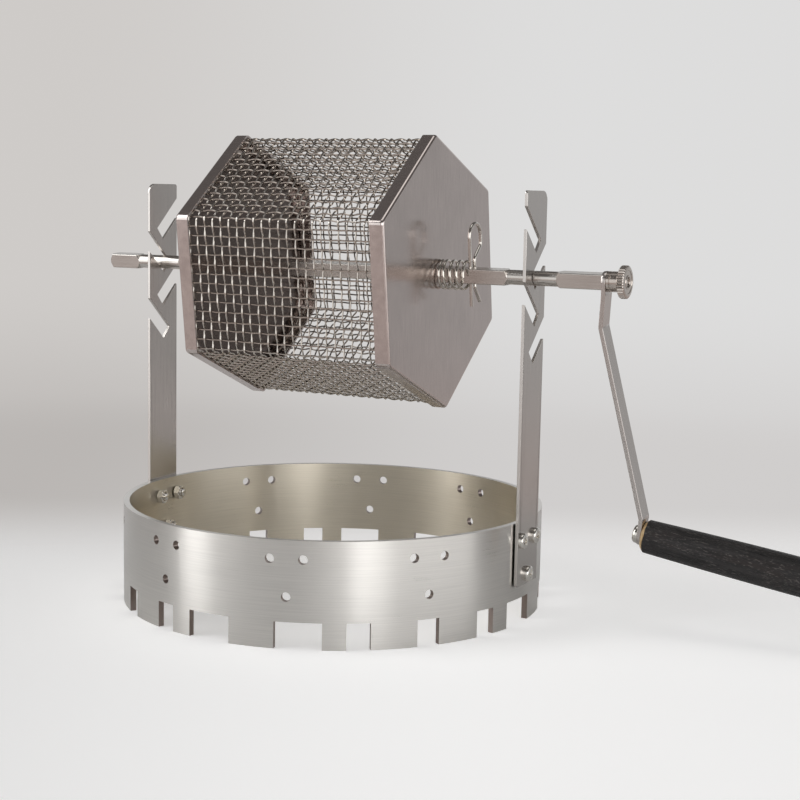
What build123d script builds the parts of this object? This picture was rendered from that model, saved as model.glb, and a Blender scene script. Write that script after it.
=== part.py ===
from build123d import *
import math
import os

# Stovetop coffee bean roaster: a six sided wire drum, cranked by hand on two slotted posts over an open ring.
# Origin: centre of the ring on the surface it stands on. +X along the shaft to the crank, +Z up. Millimetres.

# ---- base ring ----
RING_DIAMETER = 220.0
RING_WALL = 3.0
RING_HEIGHT = 52.0
NOTCH_HEIGHT = 13.0
GRID_STEP = 6.0                          # degrees: every foot and notch is one or two of these long
FEET_PER_QUARTER = ((1, 2), (5, 1), (7, 2), (10, 2), (13, 1))   # (first step, steps) of each foot in 90 degrees
HOLE_GROUPS = 10
HOLE_DIAMETER = 4.5
HOLE_SPREAD = 16.0                       # between the two upper holes of a group
UPPER_HOLE_HEIGHT = 43.0
LOWER_HOLE_HEIGHT = 25.0

# ---- posts ----
POST_WIDTH = 25.0
POST_THICKNESS = 1.6
POST_BOTTOM = 20.0
POST_TOP = 215.3
POST_SOFT_CORNER = 5.0
POST_CORNER = 1.5
SLOT_COUNT = 4
SLOT_PITCH = 18.2
SLOT_ANGLE = 42.0                        # degrees, down and inwards from the mouth
SEAT_HEIGHT = 172.7                      # shaft axis when it lies in the second slot from the top
SEAT_NUMBER = 2
SLOT_CLEARANCE = 0.35

# ---- screws and nuts of the posts ----
SCREW_DIAMETER = 4.0
SCREW_LENGTH = 10.0
HEAD_DIAMETER = 8.0
HEAD_HEIGHT = 2.6
NUT_FLATS = 7.0
NUT_HEIGHT = 3.2
THREAD_PLAY = 0.05

# ---- shaft ----
BAR = 7.5                                # side of the square bar
JOURNAL_DIAMETER = 7.4
JOURNAL_LENGTH = 26.0
RUN_OUT = 5.0                            # length over which a journal runs out into the square
SHAFT_LEFT_OVERHANG = 33.4               # past the ring's outside
SHAFT_RIGHT_OVERHANG = 37.2              # past the ring's outside, to the shoulder where the crank arm rests
SHAFT_CHAMFER = 0.6
TENON = 6.0
STUD_DIAMETER = 5.0
STUD_LENGTH = 9.2

# ---- drum ----
DRUM_TURN = 7.6                          # degrees that the drum has turned from vertex up
DRUM_FLATS = 121.4                       # across the flats of the end caps
DRUM_LEFT = -57.5
DRUM_LENGTH = 118.2
SHEET = 1.0
CAP_LIP = 7.5
CAP_CORNER = 3.0
CAP_FOLD = 1.6
LID_BAR_PLAY = 0.1
LID_MESH_PLAY = 0.4
MESH_THICKNESS = 1.7
MESH_ACROSS = 5
MESH_ALONG = 10
STRAND = 2.0
LID_GAP = 0.1

# ---- spring and R-clip ----
SPRING_DIAMETER = 15.4
SPRING_WIRE = 1.5
SEAT_PITCH = 2.2
ACTIVE_TURNS = 3
SEAT_TURNS = 1
END_QUARTERS = 1                         # quarter turns past the last touch on the clip
SPRING_GAP = 0.2                         # lid and clip to the spring's ends
SPRING_ROOM = 15.9                       # lid to the clip's middle plane
CLIP_WIRE = 1.8
CLIP_TOP = 25.9
CLIP_BOTTOM = 15.7
CLIP_LOOP = 13.0                         # width of the eye, between wire centres
CLIP_BULGE = 0.9
CLIP_BEND = 3.0
CLIP_FLARE = 5.0
CLIP_PLAY = 0.08

# ---- crank arm ----
ARM_WIDTH = 10.0
ARM_THICKNESS = 2.2
ARM_ABOVE = 5.0
ARM_FLAT = 6.0                           # shaft axis to the first bend
ARM_STRAIGHT = 22.0                      # shaft axis to the second bend
ARM_LEAN = 1.6                           # inwards, from the first bend to the second
ARM_TAB = 9.0
ARM_BEND = 4.0
ARM_REACH = 126.2                        # shaft axis to handle axis
HANDLE_OUT = 16.8                        # outer face of the arm's upper end to the handle's seat
HANDLE_DROOP = 8.5                       # degrees

# ---- thumb nut ----
THUMB_DIAMETER = 16.0
THUMB_COLLAR = 10.0
THUMB_COLLAR_LENGTH = 6.3
THUMB_LENGTH = 10.0
THUMB_RIDGES = 36
RIDGE_DEPTH = 0.5

# ---- handle ----
HANDLE_LENGTH = 105.0
HANDLE_END_DIAMETER = 16.6
HANDLE_FULL_DIAMETER = 18.8
HANDLE_FULL_AT = 88.0
HANDLE_CHAMFER = 1.6
HANDLE_SWELL = 0.25                      # how far the side bows out from straight
HANDLE_SCREW_HEAD = 9.2
HANDLE_SCREW_HEAD_HEIGHT = 2.9
HANDLE_SCREW_LENGTH = 20.0
TURN_PLAY = 0.06
TURN_GAP = 0.3
INSERT_DIAMETER = 6.4
INSERT_LENGTH = 13.0

# ---- worked out from the above ----
RING_RADIUS = RING_DIAMETER / 2
RING_INSIDE = RING_RADIUS - RING_WALL
DRUM_RIGHT = DRUM_LEFT + DRUM_LENGTH
CLIP_PLANE = DRUM_RIGHT + SPRING_ROOM
JOURNAL_CENTRE = RING_RADIUS + POST_THICKNESS / 2
SHAFT_LEFT_END = RING_RADIUS + SHAFT_LEFT_OVERHANG
SHAFT_SHOULDER = RING_RADIUS + SHAFT_RIGHT_OVERHANG
HANDLE_OFFSET = SHAFT_SHOULDER + ARM_THICKNESS + HANDLE_OUT
SLOT_WIDTH = JOURNAL_DIAMETER + 2 * SLOT_CLEARANCE
MESH_OUTSIDE = DRUM_FLATS / 2 - SHEET - LID_MESH_PLAY
SLOT_HEIGHTS = [SEAT_HEIGHT + (SEAT_NUMBER - 1 - k) * SLOT_PITCH for k in range(SLOT_COUNT)]
SCREW_PLACES = [(-HOLE_SPREAD / 2, UPPER_HOLE_HEIGHT), (HOLE_SPREAD / 2, UPPER_HOLE_HEIGHT), (0, LOWER_HOLE_HEIGHT)]


def along_x(profile, start, length):
    """A profile drawn in Y and Z, extruded along X from start."""
    return extrude(Plane.YZ.offset(start) * profile, length)


def turned(outline):
    """A piece turned on a lathe about the X axis, from its outline of (x, radius) points."""
    face = make_face(Polyline(*[(x, 0, r) for x, r in outline], close=True))
    return revolve(face, Axis.X, 360)


def on_drum(shape):
    """Takes a piece drawn about the X axis, vertex up, to the shaft's place and turn."""
    return Pos(0, 0, SEAT_HEIGHT) * Rot(DRUM_TURN, 0, 0) * shape


# ---------------------------------------------------------------- stand
def sector(first, steps, height):
    """A wedge of the ring's plan, some grid steps long, that starts half a step past first * GRID_STEP."""
    start = (first - 0.5) * GRID_STEP
    reach = 2 * RING_RADIUS
    corners = [(reach * math.cos(math.radians(a)), reach * math.sin(math.radians(a)))
               for a in (start, start + steps * GRID_STEP)]
    return extrude(make_face(Polyline((0, 0), *corners, close=True)), height)


def base_ring():
    """Rolled strip with feet and notches along its lower edge and groups of three holes round its wall."""
    wall = extrude(Circle(RING_RADIUS) - Circle(RING_INSIDE), RING_HEIGHT)
    ring = Pos(0, 0, NOTCH_HEIGHT) * extrude(Circle(RING_RADIUS) - Circle(RING_INSIDE), RING_HEIGHT - NOTCH_HEIGHT)
    for quarter in range(4):
        for first, steps in FEET_PER_QUARTER:
            ring += wall & (Rot(0, 0, 90 * quarter) * sector(first, steps, NOTCH_HEIGHT))
    drill = Circle(HOLE_DIAMETER / 2)
    for group in range(HOLE_GROUPS):
        turn = Rot(0, 0, group * 360 / HOLE_GROUPS)
        for y, z in SCREW_PLACES:
            ring -= turn * along_x(Pos(y, z) * drill, RING_INSIDE - 2 * RING_WALL, 4 * RING_WALL)
    return ring


def post():
    """Flat strap for the right side, drawn in Y and Z, with slots open to its two edges in turn."""
    strap = Pos(0, (POST_BOTTOM + POST_TOP) / 2) * Rectangle(POST_WIDTH, POST_TOP - POST_BOTTOM)
    strap = fillet(strap.vertices().filter_by(lambda v: v.X > 0 and v.Y > SEAT_HEIGHT), POST_SOFT_CORNER)
    strap = fillet(strap.vertices().filter_by(lambda v: v.X < 0 or v.Y < SEAT_HEIGHT), POST_CORNER)
    for number, height in enumerate(SLOT_HEIGHTS):
        slot = Pos(POST_WIDTH - SLOT_WIDTH / 2, 0) * Rectangle(2 * POST_WIDTH, SLOT_WIDTH)
        slot = Rot(0, 0, SLOT_ANGLE) * slot
        strap -= Pos(0, height) * (slot if number % 2 else mirror(slot, Plane.YZ))
    for y, z in SCREW_PLACES:
        strap -= Pos(y, z) * Circle(HOLE_DIAMETER / 2)
    return along_x(strap, RING_RADIUS, POST_THICKNESS)


def screw_head(diameter, height):
    """Outline of a pan head from its seat outwards: straight wall, then a crowned top, as (x, radius)."""
    r = diameter / 2
    return [(0, r), (0.45 * height, r), (0.75 * height, 0.9 * r), (0.92 * height, 0.66 * r), (height, 0.3 * r), (height, 0)]


def post_screws():
    """Three pan head screws of the right post, heads outside."""
    seat = RING_RADIUS + POST_THICKNESS
    shank = SCREW_DIAMETER / 2
    head = [(seat + x, r) for x, r in screw_head(HEAD_DIAMETER, HEAD_HEIGHT)]
    screw = turned([(seat - SCREW_LENGTH, 0), (seat - SCREW_LENGTH, shank), (seat, shank)] + head)
    return Compound(children=[Pos(0, y, z) * screw for y, z in SCREW_PLACES])


def post_nuts():
    """Three hexagon nuts of the right post; each lies with its corners against the hollow of the ring."""
    corner = NUT_FLATS / 2 / math.cos(math.radians(30))
    shape = RegularPolygon(corner, 6) - Circle(SCREW_DIAMETER / 2 + THREAD_PLAY)
    nuts = []
    for y, z in SCREW_PLACES:
        face = math.sqrt(RING_INSIDE ** 2 - (abs(y) + corner) ** 2)
        nuts.append(along_x(Pos(y, z) * shape, face - NUT_HEIGHT, NUT_HEIGHT))
    return Compound(children=nuts)


# ---------------------------------------------------------------- drum
def shaft():
    """Square bar, turned round for the two journals, with a chamfered end, a tenon and a threaded stud."""
    clear = BAR
    round_part = JOURNAL_DIAMETER / 2
    half = JOURNAL_LENGTH / 2
    outline = [(-SHAFT_LEFT_END, 0), (-SHAFT_LEFT_END, BAR / 2 - SHAFT_CHAMFER / 2),
               (-SHAFT_LEFT_END + clear - BAR / 2 + SHAFT_CHAMFER / 2, clear)]
    for centre in (-JOURNAL_CENTRE, JOURNAL_CENTRE):
        outline += [(centre - half - RUN_OUT, clear), (centre - half, round_part),
                    (centre + half, round_part), (centre + half + RUN_OUT, clear)]
    outline += [(SHAFT_SHOULDER, clear), (SHAFT_SHOULDER, 0)]
    bar = along_x(RectangleRounded(BAR, BAR, BAR / 15), -SHAFT_LEFT_END, SHAFT_LEFT_END + SHAFT_SHOULDER)
    bar &= turned(outline)
    bar += along_x(Rectangle(TENON, TENON), SHAFT_SHOULDER, ARM_THICKNESS)
    bar += along_x(Circle(STUD_DIAMETER / 2), SHAFT_SHOULDER + ARM_THICKNESS, STUD_LENGTH)
    return bar - Pos(CLIP_PLANE, 0, 0) * Cylinder(CLIP_WIRE / 2 + CLIP_PLAY, 2 * BAR)


def hexagon(flats, corner):
    """Six sided outline in Y and Z with a vertex up and rounded corners."""
    shape = RegularPolygon(flats / 2, 6, major_radius=False, rotation=30)
    return fillet(shape.vertices(), corner)


def cap(flats, play):
    """Pressed six sided tray, open towards +X, its face at x = 0, with a square hole for the bar."""
    tray = along_x(hexagon(flats, CAP_CORNER), 0, CAP_LIP)
    tray = fillet(tray.faces().sort_by(Axis.X)[0].edges(), CAP_FOLD)
    hollow = along_x(hexagon(flats - 2 * SHEET, CAP_CORNER - SHEET), SHEET, CAP_LIP)
    hollow = fillet(hollow.faces().sort_by(Axis.X)[0].edges(), CAP_FOLD - SHEET)
    opening = BAR + 2 * play
    return tray - hollow - along_x(Rectangle(opening, opening), 0, SHEET)


def drum_cap_fixed():
    """The left cap, tight on the bar and round the wire cloth."""
    return Pos(DRUM_LEFT, 0, 0) * cap(DRUM_FLATS - 2 * LID_MESH_PLAY, 0)


def drum_lid():
    """The right cap, which slides on the bar and over the ends of the wire cloth."""
    return Pos(DRUM_RIGHT, 0, 0) * Rot(0, 0, 180) * cap(DRUM_FLATS, LID_BAR_PLAY)


def mesh_panel():
    """One flat side of the wire cloth, from fold to fold: a net, rounded along the folds as the caps are."""
    start = DRUM_LEFT + CAP_FOLD
    length = DRUM_RIGHT - SHEET - LID_GAP - start
    flats = 2 * MESH_OUTSIDE
    inner = flats - 2 * MESH_THICKNESS
    cloth = hexagon(flats, CAP_CORNER - SHEET) - RegularPolygon(inner / 2, 6, major_radius=False, rotation=30)
    reach = 2 * flats
    side = Polyline((0, 0), (reach, -reach * math.tan(math.radians(30))), (reach, reach * math.tan(math.radians(30))),
                    close=True)
    panel = along_x(cloth & make_face(side), start, length)
    pitch_across = (inner * math.tan(math.radians(30)) - STRAND) / MESH_ACROSS
    pitch_along = (length - STRAND) / MESH_ALONG
    gap = Rectangle(pitch_along - STRAND, pitch_across - STRAND)
    gaps = Sketch() + [place * gap for place in GridLocations(pitch_along, pitch_across, MESH_ALONG, MESH_ACROSS)]
    face = Plane(origin=(start + length / 2, MESH_OUTSIDE + SHEET, 0), x_dir=(1, 0, 0), z_dir=(0, -1, 0))
    return panel - extrude(face * gaps, MESH_THICKNESS + 2 * SHEET)


# ---------------------------------------------------------------- spring and R-clip
def spring_point(turn, pitches, start):
    """Point and direction on the spring's centre line after some quarter turns; pitches has one entry a quarter."""
    radius = (SPRING_DIAMETER - SPRING_WIRE) / 2
    angle = turn * math.pi / 2
    before = pitches[max(turn - 1, 0)]
    after = pitches[min(turn, len(pitches) - 1)]
    point = Vector(start + sum(pitches[:turn]) / 4, -radius * math.sin(angle), radius * math.cos(angle))
    rise = (before + after) / 2 / (2 * math.pi * radius)
    return point, Vector(rise, -math.cos(angle), -math.sin(angle)).normalized()


def tangent_arc(a, direction, b):
    """The arc that leaves a in a direction and ends in b."""
    chord = b - a
    side = direction - chord * (direction.dot(chord) / chord.dot(chord))
    lean = direction.get_angle(chord)
    middle = (a + b) * 0.5 + side.normalized() * (chord.length / 2 * math.tan(math.radians(lean / 2)))
    return ThreePointArc(a, middle, b)


def biarc(a, from_a, b, into_b):
    """Two arcs from a to b that keep both end directions and meet tangentially."""
    v = b - a
    t = from_a + into_b
    spread = 2 * (1 - from_a.dot(into_b))
    reach = (-v.dot(t) + math.sqrt(v.dot(t) ** 2 + spread * v.dot(v))) / spread
    joint = (a + b + (from_a - into_b) * reach) * 0.5
    return [tangent_arc(a, from_a, joint), tangent_arc(b, into_b * -1, joint)]


def lid_spring():
    """Compression spring between the lid and the clip: one round wire, a flatter turn at each end."""
    start = DRUM_RIGHT + SPRING_GAP + SPRING_WIRE / 2
    length = CLIP_PLANE - CLIP_WIRE / 2 - SPRING_GAP - SPRING_WIRE / 2 - start
    active = (length - SEAT_TURNS * SEAT_PITCH) / ACTIVE_TURNS
    pitches = [SEAT_PITCH] * (4 * SEAT_TURNS) + [active] * (4 * ACTIVE_TURNS + END_QUARTERS)
    nodes = [spring_point(k, pitches, start) for k in range(len(pitches) + 1)]
    edges = []
    for (a, from_a), (b, into_b) in zip(nodes, nodes[1:]):
        edges += biarc(a, from_a, b, into_b)
    first, along = nodes[0]
    last, away = nodes[-1]
    edges = [Line(first - along * SPRING_WIRE, first)] + edges + [Line(last, last + away * SPRING_WIRE)]
    path = Wire(edges)
    print_least_gap(path, SPRING_WIRE)
    section = Plane(origin=path @ 0, z_dir=path % 0) * Circle(SPRING_WIRE / 2)
    return sweep(section, path)


def print_least_gap(path, wire):
    """Prints the least clear distance between parts of a wound wire that lie more than half a turn apart."""
    steps = 400
    points = [path @ (k / steps) for k in range(steps + 1)]
    apart = int(math.pi * (SPRING_DIAMETER - SPRING_WIRE) / 2 / path.length * steps)
    least = min((points[i] - points[j]).length for i in range(steps + 1) for j in range(i + apart, steps + 1))
    print("spring: least gap to itself", round(least - wire, 2), "mm")


def r_clip():
    """Bent wire: a straight leg through the shaft, an eye above it and a waved leg that grips behind the bar."""
    grip = BAR / 2 + CLIP_WIRE / 2 + CLIP_PLAY
    top = CLIP_TOP - CLIP_WIRE / 2
    eye = CLIP_LOOP / 2
    waist = BAR
    bends = [(0, -CLIP_BOTTOM), (0, top), (CLIP_LOOP, top), (CLIP_LOOP, top - CLIP_LOOP + CLIP_BEND / 2),
             (grip, waist), (grip + CLIP_BULGE, 0), (grip, -waist), (grip + CLIP_FLARE, -CLIP_BOTTOM + CLIP_WIRE / 2)]
    radii = [eye - 0.1, eye - 0.1, CLIP_BEND, CLIP_BEND, 2 * CLIP_BEND, CLIP_BEND]
    path = Wire(FilletPolyline(*[(CLIP_PLANE, y, z) for y, z in bends], radius=radii).edges())
    section = Plane(origin=path @ 0, z_dir=path % 0) * Circle(CLIP_WIRE / 2)
    return sweep(section, path)


# ---------------------------------------------------------------- crank
def handle_seat():
    """Plane on the outer face of the arm's end: origin on the handle's axis, Z along the handle."""
    droop = math.radians(HANDLE_DROOP)
    return Plane(origin=(HANDLE_OFFSET, 0, -ARM_REACH), x_dir=(0, 1, 0),
                 z_dir=(math.cos(droop), 0, -math.sin(droop)))


def crank_arm():
    """Flat bar on the shaft's end: leans in, then slants out, and is bent back at the end that carries the handle."""
    middle = SHAFT_SHOULDER + ARM_THICKNESS / 2
    seat = handle_seat()
    end = Vector(*seat.origin) - seat.z_dir * (ARM_THICKNESS / 2)
    down = Vector(-math.sin(math.radians(HANDLE_DROOP)), 0, -math.cos(math.radians(HANDLE_DROOP)))
    points = [Vector(middle, 0, ARM_ABOVE), Vector(middle, 0, -ARM_FLAT), Vector(middle - ARM_LEAN, 0, -ARM_STRAIGHT),
              end - down * ARM_TAB, end + down * ARM_WIDTH / 2]
    path = Wire(FilletPolyline(*points, radius=ARM_BEND).edges())
    section = Plane(origin=path @ 0, x_dir=(0, 1, 0), z_dir=path % 0) * Rectangle(ARM_WIDTH, ARM_THICKNESS)
    arm = sweep(section, path)
    upright = arm.edges().filter_by(lambda e: abs(e.length - ARM_THICKNESS) < 0.01)
    arm = fillet(upright.sort_by(Axis.Z)[-2:] + upright.sort_by(Axis.Z)[:2], ARM_WIDTH * 0.48)
    arm -= along_x(Rectangle(TENON + 2 * TURN_PLAY, TENON + 2 * TURN_PLAY), SHAFT_SHOULDER, ARM_THICKNESS)
    return arm - seat * Cylinder(SCREW_DIAMETER / 2 + TURN_PLAY, 4 * ARM_THICKNESS)


def thumb_nut():
    """Round nut on the shaft's stud: a smooth collar against the arm and a ridged rim."""
    start = SHAFT_SHOULDER + ARM_THICKNESS
    bore = STUD_DIAMETER / 2 + THREAD_PLAY
    rim = THUMB_DIAMETER / 2
    edge = RIDGE_DEPTH
    x = [start + d for d in (0, THUMB_COLLAR_LENGTH, THUMB_COLLAR_LENGTH + edge, THUMB_LENGTH - edge, THUMB_LENGTH)]
    nut = turned([(x[0], bore), (x[0], THUMB_COLLAR / 2), (x[1], THUMB_COLLAR / 2), (x[1], rim - edge),
                  (x[2], rim), (x[3], rim), (x[4], rim - edge), (x[4], bore)])
    groove = Pos(rim, 0) * Rot(0, 0, 45) * Rectangle(edge, edge)
    for k in range(THUMB_RIDGES):
        nut -= along_x(Rot(0, 0, k * 360 / THUMB_RIDGES) * groove, x[1], x[4] - x[1])
    return nut


def on_seat(shape):
    """Takes a piece drawn about the X axis, from x = 0, to the handle's axis and the arm's outer face."""
    return handle_seat() * Rot(0, -90, 0) * shape


def handle_grip():
    """Turned wooden handle: swells away from the arm, rounded at its far end, drilled for the insert and screw."""
    end = HANDLE_END_DIAMETER / 2
    full = HANDLE_FULL_DIAMETER / 2
    start = TURN_GAP
    tip = start + HANDLE_LENGTH
    shoulder = start + HANDLE_CHAMFER
    widest = start + HANDLE_FULL_AT
    swell = ThreePointArc((shoulder, 0, end), ((shoulder + widest) / 2, 0, (end + full) / 2 + HANDLE_SWELL),
                          (widest, 0, full))
    crown = TangentArc((widest, 0, full), (tip, 0, full / 2), tangent=swell % 1)
    ends = Polyline((tip, 0, full / 2), (tip, 0, 0), (start, 0, 0), (start, 0, end - HANDLE_CHAMFER),
                    (shoulder, 0, end))
    grip = revolve(make_face([swell, crown] + list(ends.edges())), Axis.X, 360)
    grip -= along_x(Circle(INSERT_DIAMETER / 2), 0, start + INSERT_LENGTH)
    grip -= along_x(Circle(SCREW_DIAMETER / 2 + THREAD_PLAY), 0, HANDLE_SCREW_LENGTH)
    return on_seat(grip)


def handle_screw():
    """Pan head screw: head behind the arm, shank through the arm's hole into the handle's insert."""
    back = -ARM_THICKNESS - TURN_PLAY
    shank = SCREW_DIAMETER / 2
    head = [(back - x, r) for x, r in screw_head(HANDLE_SCREW_HEAD, HANDLE_SCREW_HEAD_HEIGHT)]
    tip = back + HANDLE_SCREW_LENGTH
    return on_seat(turned([(tip, 0), (tip, shank), (back, shank)] + head))


def handle_insert():
    """Threaded sleeve in the handle's end."""
    ring = Circle(INSERT_DIAMETER / 2) - Circle(SCREW_DIAMETER / 2 + THREAD_PLAY)
    return on_seat(along_x(ring, TURN_GAP, INSERT_LENGTH))


# ---------------------------------------------------------------- all pieces
def across(shape):
    """The same piece on the left side of the ring: half a turn about Z."""
    return Rot(0, 0, 180) * shape


def main():
    nodes = {
        "base_ring": base_ring(),
        "post_right": post(),
        "post_left": across(post()),
        "post_screws_right": post_screws(),
        "post_screws_left": across(post_screws()),
        "post_nuts_right": post_nuts(),
        "post_nuts_left": across(post_nuts()),
        "shaft": on_drum(shaft()),
        "drum_cap_fixed": on_drum(drum_cap_fixed()),
        "drum_lid": on_drum(drum_lid()),
        "lid_spring": on_drum(lid_spring()),
        "r_clip": on_drum(r_clip()),
        "crank_arm": on_drum(crank_arm()),
        "thumb_nut": on_drum(thumb_nut()),
        "handle_grip": on_drum(handle_grip()),
        "handle_screw": on_drum(handle_screw()),
        "handle_insert": on_drum(handle_insert()),
    }
    for side in range(6):
        nodes[f"mesh_panel_{side + 1}"] = on_drum(Rot(60 * side, 0, 0) * mesh_panel())
    os.makedirs("parts", exist_ok=True)
    for name, shape in nodes.items():
        export_step(shape, f"parts/{name}.step")


main()
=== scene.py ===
import math

import bpy
import numpy as np
from mathutils import Matrix, Vector


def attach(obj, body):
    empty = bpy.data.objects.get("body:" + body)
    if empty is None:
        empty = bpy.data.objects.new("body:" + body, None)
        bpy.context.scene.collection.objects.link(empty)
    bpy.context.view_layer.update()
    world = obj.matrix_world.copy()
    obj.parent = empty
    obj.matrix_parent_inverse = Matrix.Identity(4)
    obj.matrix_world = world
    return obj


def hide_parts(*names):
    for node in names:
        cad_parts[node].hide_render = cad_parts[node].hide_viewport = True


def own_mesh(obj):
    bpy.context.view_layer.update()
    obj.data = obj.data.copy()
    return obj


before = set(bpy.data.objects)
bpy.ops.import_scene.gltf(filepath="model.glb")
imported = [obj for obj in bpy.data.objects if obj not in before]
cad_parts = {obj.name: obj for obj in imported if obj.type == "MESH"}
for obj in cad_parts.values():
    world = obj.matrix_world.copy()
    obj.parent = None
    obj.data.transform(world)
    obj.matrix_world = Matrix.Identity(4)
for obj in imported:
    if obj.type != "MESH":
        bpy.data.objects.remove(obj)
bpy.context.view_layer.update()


# ---- The view ----
# A long lens a little above the ring's rim, turned towards the crank's side. It keeps the whole stand and
# drum in the picture and lets the handle run out of it on the right.

CAMERA_PLACE = Vector((0.4158, -0.7354, 0.2129))
CAMERA_TURN = math.radians(27.175)
CAMERA_RISE = math.radians(7.300)
CAMERA_ROLL = math.radians(1.098)

camera_data = bpy.data.cameras.new("view")
camera_data.lens = 72.74
camera_data.sensor_width = 36.0
camera_data.clip_start = 0.05
camera_data.clip_end = 20.0
camera = bpy.data.objects.new("view", camera_data)
bpy.context.scene.collection.objects.link(camera)
bpy.context.scene.camera = camera
behind_camera = Vector((math.sin(CAMERA_TURN) * math.cos(CAMERA_RISE),
                        -math.cos(CAMERA_TURN) * math.cos(CAMERA_RISE), math.sin(CAMERA_RISE)))
level_right = Vector((math.cos(CAMERA_TURN), math.sin(CAMERA_TURN), 0.0))
level_up = behind_camera.cross(level_right)
leant_right = level_right * math.cos(CAMERA_ROLL) + level_up * math.sin(CAMERA_ROLL)
leant_up = level_up * math.cos(CAMERA_ROLL) - level_right * math.sin(CAMERA_ROLL)
turn_matrix = Matrix((leant_right, leant_up, behind_camera)).transposed().to_4x4()
camera.matrix_world = Matrix.Translation(CAMERA_PLACE) @ turn_matrix


# ---- The studio ----
# Pale paper under a ring of soft panels, two bright ones in front and dimmer ones between and behind, which
# give the steel its bands. The backdrop and the paper's glow show to the camera alone, and metal sees the
# paper only near the stand. One soft box above left throws the faint shadow.

# how bright the ring of panels is, by compass angle from +X in degrees
PANELS = ((-180, 0.34), (-160, 0.40), (-149, 0.80), (-144, 2.90), (-134, 2.70), (-125, 1.25),
          (-104, 0.74), (-84, 0.64), (-70, 0.90), (-56, 1.60), (-46, 3.40), (-37, 2.90),
          (-26, 1.70), (-6, 1.65), (18, 1.50), (34, 0.60), (52, 0.35), (64, 0.37),
          (70, 0.52), (80, 0.58), (94, 0.66), (140, 0.60), (160, 0.38), (180, 0.34))
UNDER_TABLE = (0.45, 0.39, 0.37, 1.0)
CEILING = (0.12, 0.113, 0.11, 1.0)
OVERHEAD = (1.15, 1.13, 1.10, 1.0)
# the backdrop's tones are painted light and shade on plain paper: dimmer to the left, with a darker band at
# its foot
BACKDROP_LEFT = (0.620, 0.598, 0.580, 1.0)
BACKDROP_RIGHT = (0.725, 0.722, 0.720, 1.0)
BACKDROP_FOOT_LEFT = (0.490, 0.468, 0.452, 1.0)
BACKDROP_FOOT_RIGHT = (0.630, 0.615, 0.608, 1.0)

# where one tone gives way to the next, by how steeply a direction rises: -1 is straight down, 1 is up
TABLE_FADE = (-0.08, -0.20)
CEILING_FADE = (0.36, 0.50)
OVERHEAD_FADE = (0.92, 0.98)
BACKDROP_FOOT_FADE = (-0.18, -0.05)
BACKDROP_SIDE_FADE = (-0.22, 0.12)       # the same from left to right

# on the paper, in metres from the ring's centre
FLOOR_HALF = 4.0
BEND_FADE = (0.04, 0.27)                 # behind the stand it takes the backdrop's tone
BEND_SIDE_FADE = (-0.25, 0.15)
GLOW_SIDE_FADE = (-0.30, 0.10)
METAL_SEES_FADE = (0.26, 0.42)           # between these, reflections and light lose the paper
CAMERA_SEES_FADE = (0.50, 0.90)          # and here the camera does
GLOW = (0.21, 0.43)                      # how bright, at the left and at the right

SOFT_BOX_SIDE = 0.9
SOFT_BOX_PLACE = Vector((-1.15, -0.75, 1.25))
SOFT_BOX_AIM = Vector((0.0, 0.0, 0.1))


def put(tree, kind, inputs=None, **settings):
    """Adds a shader node; an input takes a value or another node's output."""
    made = tree.nodes.new(kind)
    for name, value in settings.items():
        setattr(made, name, value)
    for name, value in (inputs or {}).items():
        if isinstance(value, bpy.types.NodeSocket):
            tree.links.new(value, made.inputs[name])
        else:
            made.inputs[name].default_value = value
    return made


def spread(tree, value, low, high, to_low=0.0, to_high=1.0, ease="SMOOTHSTEP"):
    """Carries a value from one range to another, held at the ends."""
    made = put(tree, "ShaderNodeMapRange", {"Value": value, "From Min": low, "From Max": high,
                                            "To Min": to_low, "To Max": to_high}, interpolation_type=ease)
    return made.outputs["Result"]


def sums(tree, operation, a, b=0.0):
    """One step of arithmetic."""
    return put(tree, "ShaderNodeMath", {0: a, 1: b}, operation=operation).outputs[0]


def along(tree, place, way):
    """How far a place or a direction reaches along a way."""
    return put(tree, "ShaderNodeVectorMath", {0: place, 1: way}, operation="DOT_PRODUCT").outputs["Value"]


def blended(tree, share, a, b, way="MIX"):
    """Mixes two colours by a share; the node's colours are its inputs 6 and 7 and its output 2."""
    made = put(tree, "ShaderNodeMix", {0: share, 6: a, 7: b}, data_type="RGBA", blend_type=way)
    return made.outputs[2]


def in_picture(tree):
    """1 where the camera itself looks, 0 for light and for reflections."""
    return put(tree, "ShaderNodeLightPath").outputs["Is Camera Ray"]


world = bpy.data.worlds.new("studio_air")
bpy.context.scene.world = world
world.use_nodes = True
air = world.node_tree
air.nodes.clear()
direction = put(air, "ShaderNodeTexCoord").outputs["Generated"]
parts = put(air, "ShaderNodeSeparateXYZ", {"Vector": direction}).outputs
compass = sums(air, "ARCTAN2", parts["Y"], parts["X"])
panels = put(air, "ShaderNodeValToRGB", {"Fac": spread(air, compass, -math.pi, math.pi, ease="LINEAR")})
stops = panels.color_ramp.elements
for angle, _ in PANELS[1:-1]:
    stops.new((angle + 180) / 360)
for stop, (_, tone) in zip(stops, PANELS):
    stop.color = (tone, tone, tone, 1.0)
studio = blended(air, spread(air, parts["Z"], *TABLE_FADE), panels.outputs["Color"], UNDER_TABLE)
studio = blended(air, spread(air, parts["Z"], *CEILING_FADE), studio, CEILING)
studio = blended(air, spread(air, parts["Z"], *OVERHEAD_FADE), studio, OVERHEAD)
rightwards = spread(air, along(air, direction, tuple(level_right)), *BACKDROP_SIDE_FADE)
backdrop_foot = blended(air, rightwards, BACKDROP_FOOT_LEFT, BACKDROP_FOOT_RIGHT)
backdrop = blended(air, rightwards, BACKDROP_LEFT, BACKDROP_RIGHT)
backdrop = blended(air, spread(air, parts["Z"], *BACKDROP_FOOT_FADE), backdrop_foot, backdrop)
surroundings = blended(air, in_picture(air), studio, backdrop)
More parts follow.
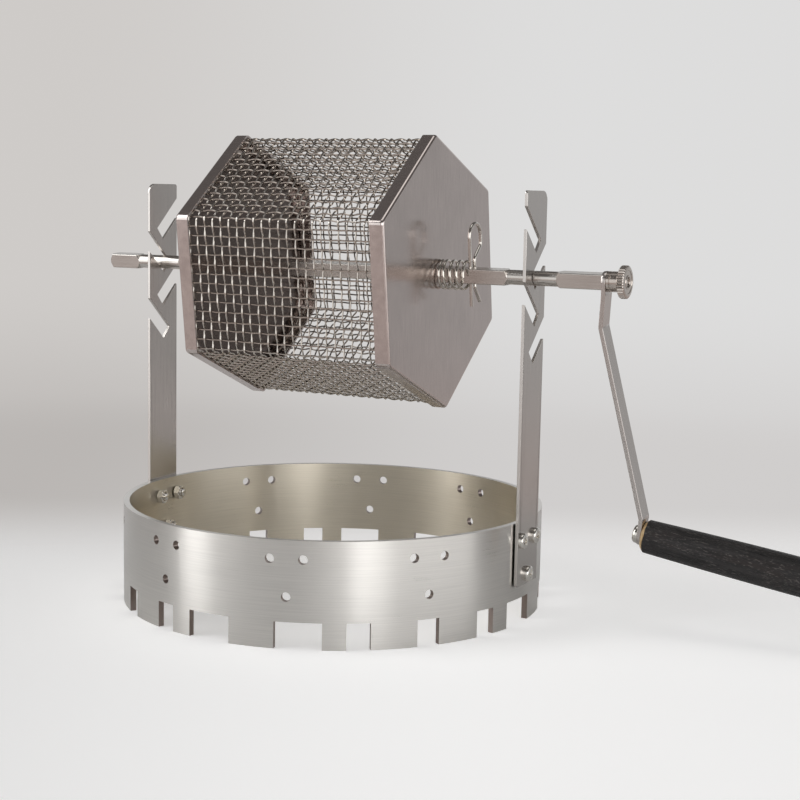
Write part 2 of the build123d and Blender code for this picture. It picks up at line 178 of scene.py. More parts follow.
glowing_air = put(air, "ShaderNodeBackground", {"Color": surroundings, "Strength": 1.0})
put(air, "ShaderNodeOutputWorld", {"Surface": glowing_air.outputs[0]})

floor_paper = bpy.data.materials.new("studio_paper")
floor_paper.use_nodes = True
paper = floor_paper.node_tree
paper.nodes.clear()
spot = put(paper, "ShaderNodeTexCoord").outputs["Object"]
behind = along(paper, spot, (-behind_camera.x, -behind_camera.y, 0.0))
to_right = along(paper, spot, tuple(level_right))
reach = put(paper, "ShaderNodeVectorMath", {0: spot}, operation="LENGTH").outputs["Value"]
seen = in_picture(paper)
glow = sums(paper, "MULTIPLY", seen, spread(paper, to_right, *GLOW_SIDE_FADE, *GLOW))
matt = put(paper, "ShaderNodeBsdfPrincipled", {
    "Base Color": (0.84, 0.84, 0.84, 1.0), "Roughness": 0.95, "Specular IOR Level": 0.05,
    "Emission Color": (1.0, 1.0, 1.0, 1.0), "Emission Strength": glow})
# painted shade: behind the stand the paper shows the camera the darker tone of the backdrop's foot
foot_tone = blended(paper, spread(paper, to_right, *BEND_SIDE_FADE), BACKDROP_FOOT_LEFT, BACKDROP_FOOT_RIGHT)
far = put(paper, "ShaderNodeEmission", {"Strength": 1.0, "Color": foot_tone})
bend = sums(paper, "MULTIPLY", spread(paper, behind, *BEND_FADE), seen)
bent_paper = put(paper, "ShaderNodeMixShader", {0: bend, 1: matt.outputs[0], 2: far.outputs[0]})
open_air = put(paper, "ShaderNodeBsdfTransparent")
gone = sums(paper, "MULTIPLY", spread(paper, reach, *METAL_SEES_FADE), sums(paper, "SUBTRACT", 1.0, seen))
gone = sums(paper, "MAXIMUM", gone, spread(paper, reach, *CAMERA_SEES_FADE))
round_paper = put(paper, "ShaderNodeMixShader", {0: gone, 1: bent_paper.outputs[0], 2: open_air.outputs[0]})
put(paper, "ShaderNodeOutputMaterial", {"Surface": round_paper.outputs[0]})

floor_corners = [(x * FLOOR_HALF, y * FLOOR_HALF, 0) for x, y in ((-1, -1), (1, -1), (1, 1), (-1, 1))]
floor_mesh = bpy.data.meshes.new("studio_floor")
floor_mesh.from_pydata(floor_corners, [], [(0, 1, 2, 3)])
floor_mesh.materials.append(floor_paper)
floor = bpy.data.objects.new("studio_floor", floor_mesh)
bpy.context.scene.collection.objects.link(floor)

soft_box_data = bpy.data.lights.new("soft_box", "AREA")
soft_box_data.shape = "RECTANGLE"
soft_box_data.size = SOFT_BOX_SIDE
soft_box_data.size_y = SOFT_BOX_SIDE
soft_box_data.energy = 8
soft_box = bpy.data.objects.new("soft_box", soft_box_data)
bpy.context.scene.collection.objects.link(soft_box)
soft_box.location = SOFT_BOX_PLACE
soft_box.rotation_euler = (SOFT_BOX_AIM - SOFT_BOX_PLACE).to_track_quat("-Z", "Y").to_euler()

bpy.context.scene.view_settings.view_transform = "Standard"


# ---- Base ring ----
# A strip of 3 mm stainless sheet, satin finished along its length, rolled into a ring and welded. Its lower
# edge is cut into feet and notches, and holes for the posts go round the wall. The cut faces below its top
# are given a darker tone, and the inside has a slight straw tint.

MM = 0.001
RING_RADIUS = 110 * MM                   # outside
RING_WALL = 3 * MM
RING_HEIGHT = 52 * MM
BELOW_TOP = (RING_HEIGHT - 0.1 * MM, RING_HEIGHT - 0.6 * MM)
EDGE_FACING = (0.7, 0.4)                 # a face that looks less than this straight out or in is a cut edge
INSIDE_FACING = (0.0, -0.5)              # and one that looks inwards is the inside
RING_ROUGHNESS = 0.30
RING_COLOUR = (0.720, 0.700, 0.668)
STRAW_TINT = (1.0, 0.95, 0.84, 1.0)
# a darker tone for the cut faces below the top
DARKER_CUT_EDGE = (0.420, 0.355, 0.330, 1.0)
TONE_SWING = 0.05                        # share by which scratches and clouds change the steel's tone
SCRATCH_GLOSS = 0.10                     # how much they change its roughness
CLOUD_GLOSS = 0.08


def stretched(tree, place, by):
    """A place with its three measures multiplied."""
    return put(tree, "ShaderNodeVectorMath", {0: place, 1: by}, operation="MULTIPLY").outputs[0]


def noise(tree, place, **inputs):
    """A cloudy value at a place."""
    return put(tree, "ShaderNodeTexNoise", {"Vector": place, **inputs}).outputs[0]


def steel(name):
    """Bare metal before its grain; returns the material, its nodes, its shader and the place on the piece."""
    material = bpy.data.materials.new(name)
    material.use_nodes = True
    tree = material.node_tree
    shader = tree.nodes["Principled BSDF"]
    shader.inputs["Metallic"].default_value = 1.0
    return material, tree, shader, put(tree, "ShaderNodeTexCoord").outputs["Object"]


def grain(tree, shader, place, pitch, colour, roughness, depth=0.020 * MM, mottle=30 * MM):
    """Colours steel with fine parallel scratches and soft clouding, and returns the colour's output.

    Pitch is the scratches' size along each axis, depth how deep they are and mottle the clouds' size.
    """
    scratch = noise(tree, stretched(tree, place, tuple(1 / size for size in pitch)),
                    Scale=1.0, Detail=3.0, Roughness=0.6)
    cloud = noise(tree, place, Scale=1 / mottle, Detail=2.0)
    shade = sums(tree, "ADD", sums(tree, "MULTIPLY", scratch, 0.7), sums(tree, "MULTIPLY", cloud, 0.3))
    dark = tuple((1 - TONE_SWING) * part for part in colour) + (1.0,)
    light = tuple((1 + TONE_SWING) * part for part in colour) + (1.0,)
    tone = blended(tree, spread(tree, shade, 0.32, 0.68), dark, light)
    tree.links.new(tone, shader.inputs["Base Color"])
    dullness = sums(tree, "ADD", sums(tree, "MULTIPLY", scratch, SCRATCH_GLOSS),
                    sums(tree, "MULTIPLY", cloud, CLOUD_GLOSS))
    smoothest = roughness - (SCRATCH_GLOSS + CLOUD_GLOSS) / 2
    tree.links.new(sums(tree, "ADD", dullness, smoothest), shader.inputs["Roughness"])
    bump = put(tree, "ShaderNodeBump", {"Height": scratch, "Strength": 0.35, "Distance": depth})
    tree.links.new(bump.outputs["Normal"], shader.inputs["Normal"])
    return tone


def finish(name, material):
    """Gives a CAD piece its finish."""
    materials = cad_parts[name].data.materials
    materials.clear()
    materials.append(material)


ring_steel, tree, shader, place = steel("rolled_strip")
xyz = put(tree, "ShaderNodeSeparateXYZ", {"Vector": place}).outputs
round_wall = sums(tree, "MULTIPLY", sums(tree, "ARCTAN2", xyz["Y"], xyz["X"]), RING_RADIUS)
along_strip = put(tree, "ShaderNodeCombineXYZ", {"X": round_wall, "Y": xyz["Z"]}).outputs[0]
wall_tone = grain(tree, shader, along_strip, (40 * MM, 0.5 * MM, 10 * MM), RING_COLOUR, RING_ROUGHNESS,
                  depth=0.006 * MM)
shader.inputs["Anisotropic"].default_value = 0.9
shader.inputs["Anisotropic Rotation"].default_value = 0.25
outwards = put(tree, "ShaderNodeVectorMath", {0: stretched(tree, place, (1, 1, 0))}, operation="NORMALIZE")
facing = put(tree, "ShaderNodeTexCoord").outputs["Normal"]
on_wall = along(tree, facing, outwards.outputs[0])
cut_edge = spread(tree, sums(tree, "ABSOLUTE", on_wall), *EDGE_FACING)
below_top = spread(tree, xyz["Z"], *BELOW_TOP)
straw_tone = blended(tree, 1.0, wall_tone, STRAW_TINT, way="MULTIPLY")
wall_tone = blended(tree, spread(tree, on_wall, *INSIDE_FACING), wall_tone, straw_tone)
ring_tone = blended(tree, sums(tree, "MULTIPLY", cut_edge, below_top), wall_tone, DARKER_CUT_EDGE)
tree.links.new(ring_tone, shader.inputs["Base Color"])
finish("base_ring", ring_steel)


# ---- Posts ----
# Two straps of 1.6 mm stainless, laser cut with slots open to both edges in turn so that the shaft can lie
# at four heights. The sheet keeps its mill finish, smoother than the ring, with the grain running up the
# strap, and its edges are broken.

POST_THICKNESS = 1.6 * MM
POST_COLOUR = (0.610, 0.580, 0.555)
POST_ROUGHNESS = 0.24
POST_EDGE = 0.20 * MM


def break_edges(name, width):
    """Rounds a CAD piece's sharp edges by a small width, after joining the points that its faces share."""
    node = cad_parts[name]
    node.modifiers.new("join", "WELD").merge_threshold = 0.002 * MM
    edge = node.modifiers.new("broken_edge", "BEVEL")
    edge.width = width
    edge.segments = 2
    edge.limit_method = "ANGLE"
    edge.angle_limit = math.radians(40)
    edge.use_clamp_overlap = False


post_steel, tree, shader, place = steel("post_sheet")
grain(tree, shader, place, (0.6 * MM, 0.6 * MM, 30 * MM), POST_COLOUR, POST_ROUGHNESS)
for name in ("post_left", "post_right"):
    finish(name, post_steel)
    break_edges(name, POST_EDGE)


# ---- Screws and nuts of the posts ----
# M4 pan head screws with a cross recess go through the strap from outside; hexagon nuts with turned chamfers
# hold them inside the ring, where the last threads stand out of the nut.

SCREW_RADIUS = 2.0 * MM
SCREW_PITCH = 0.7 * MM
SCREW_LENGTH = 10 * MM
SHANK_SIDES = 32
HEAD_HEIGHT = 2.6 * MM
HEAD_RADIUS = 4.0 * MM
RECESS_HALF = 2.3 * MM
NUT_FLATS = 7.0 * MM
NUT_CORNER = NUT_FLATS / 2 / math.cos(math.radians(30))
NUT_HEIGHT = 3.2 * MM
NUT_BORE = 2.05 * MM                     # radius
NUT_SIDES = 72
HEAD_SEAT = RING_RADIUS + POST_THICKNESS
RING_INSIDE = RING_RADIUS - RING_WALL
SCREW_PLACES = ((-8.0 * MM, 43.0 * MM), (8.0 * MM, 43.0 * MM), (0.0, 25.0 * MM))
FIRST_TWIST = 0.5                        # radians; each screw was stopped at an angle of its own
MORE_TWIST = 1.3
TURNED_BACK = Matrix.Rotation(math.pi, 4, "Z")


def add_piece(name, points, faces, material, body, slot, nodes):
    """Makes a mesh piece in the object's own frame, hands it to its body and hides its CAD nodes; slot is not
    used.
    """
    mesh = bpy.data.meshes.new(name)
    mesh.from_pydata([tuple(p) for p in points], [], faces)
    mesh.validate()
    for face in mesh.polygons:
        face.use_smooth = True
    mesh.set_sharp_from_angle(angle=math.radians(35))
    mesh.materials.append(material)
    piece = bpy.data.objects.new(name, mesh)
    bpy.context.scene.collection.objects.link(piece)
    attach(piece, body)
    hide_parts(*nodes)
    return piece


def bands(rings, around):
    """Faces that join rings of points, each ring to the next."""
    faces = []
    for ring in range(rings - 1):
        low, high = ring * around, (ring + 1) * around
        for k in range(around):
            after = (k + 1) % around
            faces.append((low + k, high + k, high + after, low + after))
    return faces


def lathe(outline, around):
    """Points and faces of a piece turned about the X axis; x and radius may be functions of the angle."""
    points = []
    for x, radius in outline:
        for k in range(around):
            a = 2 * math.pi * k / around
            r = radius(a) if callable(radius) else radius
            here = x(a) if callable(x) else x
            points.append(Vector((here, r * math.cos(a), r * math.sin(a))))
    return points, bands(len(outline), around)


def joined(*lumps):
    """Several lots of points and faces as one."""
    points, faces = [], []
    for lump_points, lump_faces in lumps:
        start = len(points)
        points += lump_points
        faces += [tuple(start + i for i in face) for face in lump_faces]
    return points, faces


def moved(matrix, lump):
    """Points and faces carried by a matrix."""
    points, faces = lump
    return [matrix @ p for p in points], faces


def threaded_shank(length):
    """M4 shank from x = 0, with a ridge for each turn of the thread and a chamfered end."""
    root = SCREW_RADIUS * 0.90
    outline = [(0.0, SCREW_RADIUS)]
    x = 0.0
    while x + SCREW_PITCH < length - SCREW_PITCH / 2:
        outline += [(x + SCREW_PITCH / 2, root), (x + SCREW_PITCH, SCREW_RADIUS)]
        x += SCREW_PITCH
    outline += [(length - SCREW_PITCH / 3, SCREW_RADIUS * 0.92), (length, SCREW_RADIUS * 0.72), (length, 0.0)]
    return lathe(outline, SHANK_SIDES)


def pan_head(height, radius, recess):
    """Crowned screw head from its seat at x = 0, with a cross sunk into it; recess is its half width."""
    around = 96
    rows = 26
    crown_foot = height * 0.72
    crown_radius = radius * 0.93
    wing = recess * 0.26
    depth = height * 0.80
    side = [(0, radius * 0.4), (0, radius), (0.35 * height, radius), (0.55 * height, radius * 0.985),
            (crown_foot, crown_radius)]
    points, _ = lathe(side, around)
    for row in range(1, rows + 1):
        share = 1 - row / rows
        crown = crown_foot + (height - crown_foot) * math.sqrt(1 - share ** 2)
        for k in range(around):
            a = 2 * math.pi * k / around
            y = crown_radius * share * math.cos(a)
            z = crown_radius * share * math.sin(a)
            across_wing, along_wing = sorted((abs(y), abs(z)))
            sunk = min((wing - across_wing) / (0.10 * recess), (recess - along_wing) / (0.30 * recess), 1.0)
            points.append(Vector((crown - depth * max(0.0, sunk), y, z)))
    return points, bands(len(side) + rows, around)


def hexagon_nut():
    """Chamfered nut from x = 0 to its height; the hexagon's corners fall away in a cone at both faces."""
    face_radius = NUT_FLATS / 2 * 0.985

    def rim(angle):
        return NUT_FLATS / 2 / math.cos((angle % math.radians(60)) - math.radians(30))

    def low_edge(angle):
        return (rim(angle) - NUT_FLATS / 2) / (NUT_CORNER - NUT_FLATS / 2) * 0.14 * NUT_HEIGHT

    def high_edge(angle):
        return NUT_HEIGHT - low_edge(angle)

    low_face = [(0, NUT_BORE), (0, face_radius), (low_edge, rim)]
    high_face = [(high_edge, rim), (NUT_HEIGHT, face_radius), (NUT_HEIGHT, NUT_BORE + 0.25 * MM)]
    return lathe(low_face + high_face + [(NUT_HEIGHT - 0.4 * MM, NUT_BORE), (0, NUT_BORE)], NUT_SIDES)


def spun(name, colour, roughness, pitch):
    """Bright turned or drawn metal with faint tool marks and small clouds."""
    material, tree, shader, place = steel(name)
    grain(tree, shader, place, pitch, colour, roughness, depth=0.010 * MM, mottle=6 * MM)
    return material


screw_steel = spun("bright_screws", colour=(0.800, 0.775, 0.730), roughness=0.12, pitch=(1.2 * MM,) * 3)
for side, half_turn in (("right", 0), ("left", math.pi)):
    to_side = Matrix.Rotation(half_turn, 4, "Z")
    screws, nuts = [], []
    for number, (y, z) in enumerate(SCREW_PLACES):
        at_seat = to_side @ Matrix.Translation((HEAD_SEAT, y, z))
        twist = Matrix.Rotation(FIRST_TWIST + MORE_TWIST * number + half_turn, 4, "X")
        screws.append(moved(at_seat @ twist, pan_head(HEAD_HEIGHT, HEAD_RADIUS, RECESS_HALF)))
        screws.append(moved(at_seat @ TURNED_BACK, threaded_shank(SCREW_LENGTH)))
        nut_seat = math.sqrt(RING_INSIDE ** 2 - (abs(y) + NUT_CORNER) ** 2)
        at_nut = to_side @ Matrix.Translation((nut_seat, y, z)) @ TURNED_BACK
        nuts.append(moved(at_nut, hexagon_nut()))
    add_piece(f"pan_head_screws_{side}", *joined(*screws), screw_steel, "stand", "fastener_steel",
              [f"post_screws_{side}"])
    add_piece(f"hexagon_nuts_{side}", *joined(*nuts), screw_steel, "stand", "fastener_steel",
              [f"post_nuts_{side}"])


# ---- Shaft ----
# One drawn square bar. Where it lies in the posts it is turned round, and the lathe leaves bright scalloped
# run-outs at both ends of each journal. Drawing marks run along the flats.

SEAT_HEIGHT = 172.7 * MM
DRUM_TURN = math.radians(7.6)
BAR_COLOUR = (0.640, 0.610, 0.575)
BAR_ROUGHNESS = 0.24

on_drum = Matrix.Translation((0, 0, SEAT_HEIGHT)) @ Matrix.Rotation(DRUM_TURN, 4, "X")
bar_steel, tree, shader, place = steel("drawn_bar")
grain(tree, shader, place, (20 * MM, 0.4 * MM, 0.4 * MM), BAR_COLOUR, BAR_ROUGHNESS)
finish("shaft", bar_steel)


# ---- End caps ----
# The fixed cap and the lid are folded from 1 mm stainless sheet with a polished, slightly rippled face. The
# lid's face mirrors the spring and the bar a short way and then blurs them. Inside the drum the sheet is
# given painted shade: a dark tone that stands for the shade and dark reflections there.

CAP_COLOUR = (0.660, 0.590, 0.565)
CAP_ROUGHNESS = 0.18
# painted shade and dark reflection for the caps' faces inside the drum
CAP_INSIDE_PAINTED_SHADE = (0.170, 0.140, 0.128, 1.0)
DRUM_MIDDLE = 1.6 * MM                   # halfway between the caps
PAINTED_SHADE_LENGTH = (58.9 * MM, 58.4 * MM)     # the painted shade starts between these distances from the drum's middle
PAINTED_SHADE_RADIUS = (60 * MM, 58 * MM)         # and from its axis

cap_steel, tree, shader, place = steel("cap_sheet")
sheet_tone = grain(tree, shader, place, (4 * MM, 0.5 * MM, 12 * MM), CAP_COLOUR, CAP_ROUGHNESS,
                   depth=0.006 * MM, mottle=20 * MM)
past_middle = sums(tree, "SUBTRACT", put(tree, "ShaderNodeSeparateXYZ", {"Vector": place}).outputs["X"],
                   DRUM_MIDDLE)
from_axis = put(tree, "ShaderNodeVectorMath", {0: place, 1: (0, 0, -SEAT_HEIGHT)}, operation="ADD").outputs[0]
from_axis = stretched(tree, from_axis, (0, 1, 1))
off_axis = put(tree, "ShaderNodeVectorMath", {0: from_axis}, operation="LENGTH").outputs["Value"]
# painted shade: the caps' faces inside the drum are darkened where shade and dark reflections fall
inside = sums(tree, "MULTIPLY", spread(tree, sums(tree, "ABSOLUTE", past_middle), *PAINTED_SHADE_LENGTH),
              spread(tree, off_axis, *PAINTED_SHADE_RADIUS))
tree.links.new(blended(tree, inside, sheet_tone, CAP_INSIDE_PAINTED_SHADE), shader.inputs["Base Color"])
for name in ("drum_cap_fixed", "drum_lid"):
    finish(name, cap_steel)


# ---- Wire cloth ----
# Plain woven cloth of 0.85 mm stainless wire, about 4.8 mm from wire to wire, folded into six sides. Each
# wire is crimped over and under the ones that it crosses, and its ends sit inside the lips of the two caps.

WIRE_RADIUS = 0.425 * MM
CLOTH_FLAT = 58.45 * MM                  # drum axis to the middle of the cloth
CLOTH_FOLD = 2.6 * MM                    # radius of a fold
CLOTH_LEFT = -55.3 * MM
CLOTH_RIGHT = 59.0 * MM
CELLS_ALONG = 24
CELLS_ROUND = 84
STEPS = 6                                # points on a wire from one crossing to the next
WIRE_SIDES = 6
WANDER = 0.16 * MM                       # how far a wire strays along its length
MISPLACED = 0.10 * MM                    # and how far from its place a lengthways wire lies
WANDERS_ROUND = 30                       # points between which it strays
WANDERS_ALONG = 8

FOLD_CENTRE = CLOTH_FLAT - CLOTH_FOLD
STRAIGHT = 2 * FOLD_CENTRE * math.tan(math.radians(30))
BEND = CLOTH_FOLD * math.pi / 3
GIRTH = 6 * (STRAIGHT + BEND)


def tube(path, outward, radius, sides, closed=False):
    """Points and faces of a round wire along a path; outward is a direction that keeps it from twisting."""
    ahead = np.roll(path, -1, axis=0) - np.roll(path, 1, axis=0)
    if not closed:
        ahead[0] = path[1] - path[0]
        ahead[-1] = path[-1] - path[-2]
    ahead /= np.linalg.norm(ahead, axis=1, keepdims=True)
    side = np.cross(ahead, outward)
    side /= np.linalg.norm(side, axis=1, keepdims=True)
    up = np.cross(side, ahead)
    turn = 2 * np.pi * np.arange(sides) / sides
    rings = (path[:, None, :] + radius * (np.cos(turn)[None, :, None] * side[:, None, :]
                                          + np.sin(turn)[None, :, None] * up[:, None, :]))
    count = len(path)
    points = [Vector(p) for p in rings.reshape(-1, 3)]
    faces = []
    for i in range(count if closed else count - 1):
        low, high = i * sides, (i + 1) % count * sides
        for k in range(sides):
            after = (k + 1) % sides
            faces.append((low + k, low + after, high + after, high + k))
    if not closed:
        faces += [tuple(range(sides))[::-1], tuple((count - 1) * sides + k for k in range(sides))]
    return points, faces


def fold_line(distance):
    """Place and outward angle on the cloth's six sided outline, in Y and Z, after a distance round it."""
    number = np.floor(distance / (STRAIGHT + BEND))
    rest = distance - number * (STRAIGHT + BEND)
    flat_angle = number * math.pi / 3
    lean = flat_angle + np.clip((rest - STRAIGHT) / CLOTH_FOLD, 0, math.pi / 3)
    slide = np.minimum(rest, STRAIGHT) - STRAIGHT / 2
    y = FOLD_CENTRE * np.cos(flat_angle) - slide * np.sin(flat_angle) + CLOTH_FOLD * np.cos(lean)
    z = FOLD_CENTRE * np.sin(flat_angle) + slide * np.cos(flat_angle) + CLOTH_FOLD * np.sin(lean)
    return y, z, lean


def woven_cloth():
    """Every wire of the cloth, as one mesh in the drum's own frame."""
    chance = np.random.default_rng(7)
    round_pitch = GIRTH / CELLS_ROUND
    along_pitch = (CLOTH_RIGHT - CLOTH_LEFT) / CELLS_ALONG
    wires = []
    for i in range(CELLS_ALONG + 1):
        distance = np.arange(CELLS_ROUND * STEPS) * round_pitch / STEPS
        y, z, lean = fold_line(distance)
        crimp = WIRE_RADIUS * np.cos(np.pi * (distance / round_pitch - 0.5 + i))
        strays = np.append(chance.normal(0, WANDER, WANDERS_ROUND - 1), 0.0)
        drift = np.interp(distance, np.linspace(0, GIRTH, WANDERS_ROUND), strays)
        x = np.full_like(y, CLOTH_LEFT + i * along_pitch) + drift * (0 < i < CELLS_ALONG)
        outward = np.stack([np.zeros_like(y), np.cos(lean), np.sin(lean)], axis=1)
        path = np.stack([x, y, z], axis=1) + outward * crimp[:, None]
        wires.append(tube(path, outward, WIRE_RADIUS, WIRE_SIDES, closed=True))
    for j in range(CELLS_ROUND):
        x = np.linspace(CLOTH_LEFT, CLOTH_RIGHT, CELLS_ALONG * STEPS + 1)
        y, z, lean = fold_line(np.array([(j + 0.5) * round_pitch + chance.normal(0, MISPLACED)]))
        crimp = -WIRE_RADIUS * np.cos(np.pi * ((x - CLOTH_LEFT) / along_pitch + j))
        strays = chance.normal(0, WANDER, WANDERS_ALONG)
        drift = np.interp(x, np.linspace(CLOTH_LEFT, CLOTH_RIGHT, WANDERS_ALONG), strays)
        outward = np.repeat([[0.0, math.cos(lean[0]), math.sin(lean[0])]], len(x), axis=0)
        beside = np.array([0.0, -math.sin(lean[0]), math.cos(lean[0])])
        path = np.stack([x, np.full_like(x, y[0]), np.full_like(x, z[0])], axis=1)
        path += outward * crimp[:, None] + beside * drift[:, None]
        wires.append(tube(path, outward, WIRE_RADIUS, WIRE_SIDES))
    return joined(*wires)


wire_steel = spun("cloth_wire", colour=(0.600, 0.560, 0.515), roughness=0.15, pitch=(1.5 * MM,) * 3)
add_piece("wire_cloth", *moved(on_drum, woven_cloth()), wire_steel, "drum", "wire_cloth",
          [f"mesh_panel_{k}" for k in range(1, 7)])


# ---- Lid spring ----
# A compression spring of 1.5 mm bright wire between the lid and the clip. Its first turn lies almost flat on
# the lid. When the lid is slid back to fill the drum, the turns close up, but here the spring is built open
# only.

SPRING_WIRE = 1.5 * MM
SPRING_RADIUS = 6.95 * MM
SPRING_START = 61.65 * MM                # wire centre at the lid
SPRING_END = 74.75 * MM                  # wire centre where it touches the clip
SPRING_SIDES = 16
FLAT_PITCH = 2.2 * MM
OPEN_TURNS = 3
OPENS_FROM = 0.8                         # turns after which the pitch opens
OPENS_OVER = 0.4
TURNS = 4.25
STEPS_A_TURN = 64


def coiled_spring():
    """The wire: a flat turn, three open turns, and a last quarter past the clip."""
    turns = np.linspace(0, TURNS, int(TURNS * STEPS_A_TURN) + 1)
    open_pitch = (SPRING_END - SPRING_START - FLAT_PITCH) / OPEN_TURNS
    pitch = FLAT_PITCH + (open_pitch - FLAT_PITCH) * np.clip((turns - OPENS_FROM) / OPENS_OVER, 0, 1)
    rises = (pitch[1:] + pitch[:-1]) / 2 * np.diff(turns)
    x = SPRING_START + np.concatenate([[0], np.cumsum(rises)])
    angle = 2 * np.pi * turns
    outward = np.stack([np.zeros_like(x), -np.sin(angle), np.cos(angle)], axis=1)
    path = outward * SPRING_RADIUS
    path[:, 0] = x
    return tube(path, outward, SPRING_WIRE / 2, SPRING_SIDES)


spring_wire = spun("spring_wire", colour=(0.640, 0.610, 0.560), roughness=0.10, pitch=(1.0 * MM,) * 3)
spring = add_piece("coil_spring", *moved(on_drum, coiled_spring()), spring_wire, "drum", "spring_wire",
                   ["lid_spring"])
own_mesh(spring)


# ---- R-clip ----
# Bent from 1.8 mm bright spring wire. Its straight leg goes through the bar and the waved leg grips behind
# it; pulling it out by the eye frees the spring and the lid.

clip_wire = spun("clip_wire", colour=(0.660, 0.630, 0.590), roughness=0.10, pitch=(1.0 * MM,) * 3)
finish("r_clip", clip_wire)


# ---- Crank arm ----
# Flat bar, 10 by 2.2 mm, with a square hole on the shaft's tenon and two bends. Sheared and tumbled, so its
# edges are soft and its faces carry long faint marks.

ARM_COLOUR = (0.620, 0.580, 0.555)
ARM_ROUGHNESS = 0.25
ARM_EDGE = 0.35 * MM

arm_steel, tree, shader, place = steel("flat_bar")
grain(tree, shader, place, (0.6 * MM, 0.5 * MM, 25 * MM), ARM_COLOUR, ARM_ROUGHNESS)
finish("crank_arm", arm_steel)
break_edges("crank_arm", ARM_EDGE)


# ---- Thumb nut ----
# Turned steel nut with a grooved collar and a fine straight knurl round its rim. It screws on the shaft's
# stud, whose end shows in the middle of its outer face.

ARM_OUTSIDE = 149.4 * MM
COLLAR = 5.0 * MM                        # radius
RIM = 8.0 * MM                           # radius
RIM_START = 6.3 * MM
NUT_FACE = 10.0 * MM
STUD_BORE = 2.55 * MM                    # radius
CHAMFER = 0.5 * MM
GROOVE = 0.25 * MM                       # depth of the collar's groove and of the face's dish
KNURLS = 36
STEPS_A_KNURL = 6
KNURL_DEPTH = 0.50 * MM


def knurled(angle):
    """Rim radius of the nut at an angle."""
    return RIM - KNURL_DEPTH * (0.5 - 0.5 * math.cos(KNURLS * angle)) ** 0.7


nut_foot = [(0, STUD_BORE), (0, COLLAR - 0.3 * MM), (0.3 * MM, COLLAR)]
nut_groove = [(1.5 * MM, COLLAR), (1.7 * MM, COLLAR - GROOVE), (2.1 * MM, COLLAR - GROOVE),
              (2.3 * MM, COLLAR)]
nut_shoulder = [(RIM_START - 0.3 * MM, COLLAR), (RIM_START, COLLAR + 0.3 * MM),
                (RIM_START, RIM - 2 * CHAMFER)]
nut_knurl = [(RIM_START + CHAMFER, knurled), (NUT_FACE - CHAMFER, knurled)]
nut_lip = [(NUT_FACE - 0.1 * MM, RIM - 1.6 * CHAMFER), (NUT_FACE, RIM - 2.4 * CHAMFER),
           (NUT_FACE, RIM - 4.6 * CHAMFER)]
nut_dish = [(NUT_FACE - GROOVE, RIM - 5.0 * CHAMFER), (NUT_FACE - GROOVE, STUD_BORE + 0.9 * MM)]
nut_mouth = [(NUT_FACE, STUD_BORE + 0.7 * MM), (NUT_FACE, STUD_BORE + 0.3 * MM),
             (NUT_FACE - 0.3 * MM, STUD_BORE), (0, STUD_BORE)]
nut_outline = nut_foot + nut_groove + nut_shoulder + nut_knurl + nut_lip + nut_dish + nut_mouth
nut_steel = spun("knurled_nut", colour=(0.600, 0.545, 0.500), roughness=0.18,
                 pitch=(0.8 * MM, 1.6 * MM, 1.6 * MM))
at_arm = on_drum @ Matrix.Translation((ARM_OUTSIDE, 0, 0))
add_piece("knurled_nut", *moved(at_arm, lathe(nut_outline, KNURLS * STEPS_A_KNURL)), nut_steel, "thumb_nut",
          "nut_steel", ["thumb_nut"])


# ---- Handle ----
# Turned from an open grained hardwood and stained black. The stain stops at the chamfer next to the arm,
# where pale wood shows in an uneven rim, and the grain stands up a little along the handle.

HANDLE_DROOP = math.radians(8.5)
HANDLE_SEAT = Vector((166.2 * MM, 0, -126.2 * MM))       # in the drum's own frame
STAIN_DARK = (0.005, 0.0045, 0.0045, 1.0)
STAIN_WORN = (0.030, 0.027, 0.027, 1.0)
STAIN_BAND = (0.018, 0.013, 0.012, 1.0)
STAIN_RUBBED = (0.110, 0.098, 0.092, 1.0)
BARE_DARK = (0.58, 0.36, 0.16, 1.0)
BARE_LIGHT = (0.80, 0.62, 0.36, 1.0)
FIBRES = (55.0, 900.0, 900.0)            # marks in a metre along the handle, across it and up it
FIGURE = (22.0, 150.0, 150.0)
PORES = (420.0, 1900.0, 1900.0)
STAIN_FADE = (1.0 * MM, 1.3 * MM)        # where the stain begins, from the end at the arm
STAIN_RAGGED = 1.6 * MM                  # and how unevenly

handle_seat = on_drum @ HANDLE_SEAT
handle_axis = on_drum.to_3x3() @ Vector((math.cos(HANDLE_DROOP), 0, -math.sin(HANDLE_DROOP)))
handle_side = on_drum.to_3x3() @ Vector((0, 1, 0))
handle_up = handle_axis.cross(handle_side)

stained_wood = bpy.data.materials.new("black_stained_wood")
stained_wood.use_nodes = True
tree = stained_wood.node_tree
shader = tree.nodes["Principled BSDF"]
shader.inputs["Specular IOR Level"].default_value = 0.45
place = put(tree, "ShaderNodeTexCoord").outputs["Object"]
from_seat = put(tree, "ShaderNodeVectorMath", {0: place, 1: tuple(handle_seat)}, operation="SUBTRACT")
lengthways, across, upwards = (along(tree, from_seat.outputs[0], tuple(way))
                               for way in (handle_axis, handle_side, handle_up))
in_wood = put(tree, "ShaderNodeCombineXYZ", {"X": lengthways, "Y": across, "Z": upwards}).outputs[0]
fibre = noise(tree, stretched(tree, in_wood, FIBRES), Scale=1.0, Detail=5.0, Roughness=0.62, Distortion=0.6)
band = noise(tree, stretched(tree, in_wood, FIGURE), Scale=1.0, Detail=3.0, Distortion=1.2)
pore = noise(tree, stretched(tree, in_wood, PORES), Scale=1.0, Detail=2.0, Distortion=0.4)
stain = blended(tree, spread(tree, fibre, 0.38, 0.70), STAIN_DARK, STAIN_WORN)
stain = blended(tree, spread(tree, band, 0.50, 0.72), stain, STAIN_BAND)
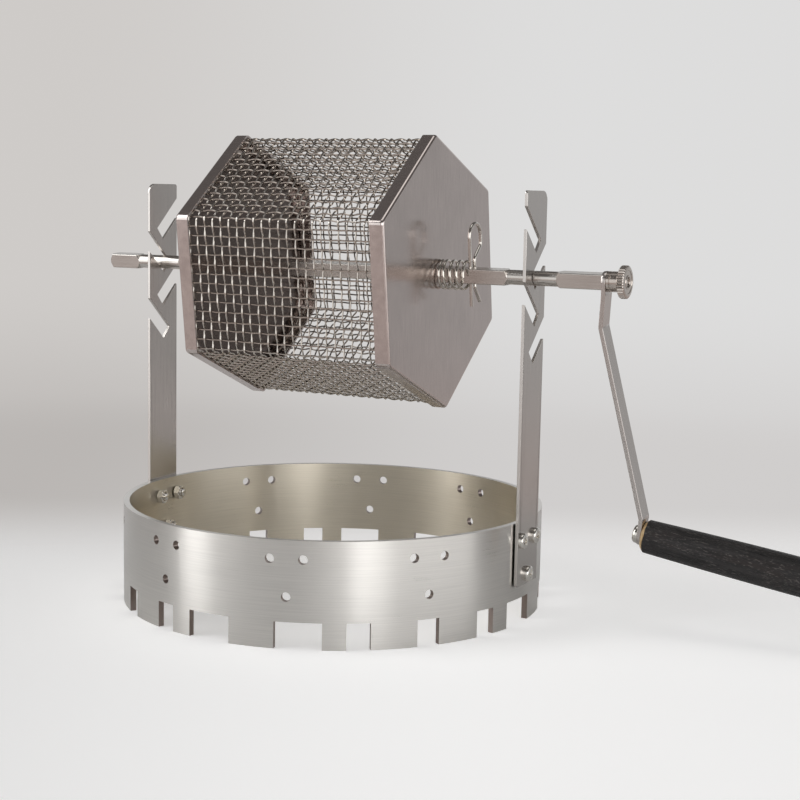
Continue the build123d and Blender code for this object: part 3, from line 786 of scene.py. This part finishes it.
rubbed = sums(tree, "MULTIPLY", spread(tree, pore, 0.56, 0.68), spread(tree, band, 0.34, 0.54))
stain = blended(tree, sums(tree, "MULTIPLY", rubbed, 0.75), stain, STAIN_RUBBED)
bare = blended(tree, spread(tree, fibre, 0.35, 0.65), BARE_DARK, BARE_LIGHT)
ragged = sums(tree, "ADD", lengthways, sums(tree, "MULTIPLY", band, -STAIN_RAGGED))
wood_tone = blended(tree, spread(tree, ragged, *STAIN_FADE), bare, stain)
tree.links.new(wood_tone, shader.inputs["Base Color"])
tree.links.new(spread(tree, fibre, 0.3, 0.7, 0.28, 0.56), shader.inputs["Roughness"])
raised = sums(tree, "ADD", fibre, sums(tree, "ADD", band, pore))
wood_bump = put(tree, "ShaderNodeBump", {"Height": raised, "Strength": 0.8, "Distance": 0.5 * MM})
tree.links.new(wood_bump.outputs["Normal"], shader.inputs["Normal"])
finish("handle_grip", stained_wood)


# ---- Handle's screw and insert ----
# A pan head screw comes through the arm from behind and ends in a brass insert in the wood, so the handle
# turns freely on its shank.

ARM_THICKNESS = 2.2 * MM
HEAD_PLAY = 0.06 * MM                    # between the arm and the screw's head
HANDLE_SCREW_LENGTH = 20 * MM
HANDLE_HEAD_HEIGHT = 2.9 * MM
HANDLE_HEAD_RADIUS = 4.6 * MM
HANDLE_RECESS_HALF = 2.6 * MM

handle_turn = Matrix((handle_axis, handle_side, handle_up)).transposed().to_4x4()
at_handle = Matrix.Translation(handle_seat) @ handle_turn
head_seat = at_handle @ Matrix.Translation((-ARM_THICKNESS - HEAD_PLAY, 0, 0))
handle_head = pan_head(HANDLE_HEAD_HEIGHT, HANDLE_HEAD_RADIUS, HANDLE_RECESS_HALF)
handle_screw = joined(moved(head_seat @ TURNED_BACK, handle_head),
                      moved(head_seat, threaded_shank(HANDLE_SCREW_LENGTH)))
add_piece("handle_pan_screw", *handle_screw, screw_steel, "handle", "fastener_steel", ["handle_screw"])
brass = spun("insert_brass", colour=(0.72, 0.55, 0.30), roughness=0.28, pitch=(1.2 * MM,) * 3)
finish("handle_insert", brass)
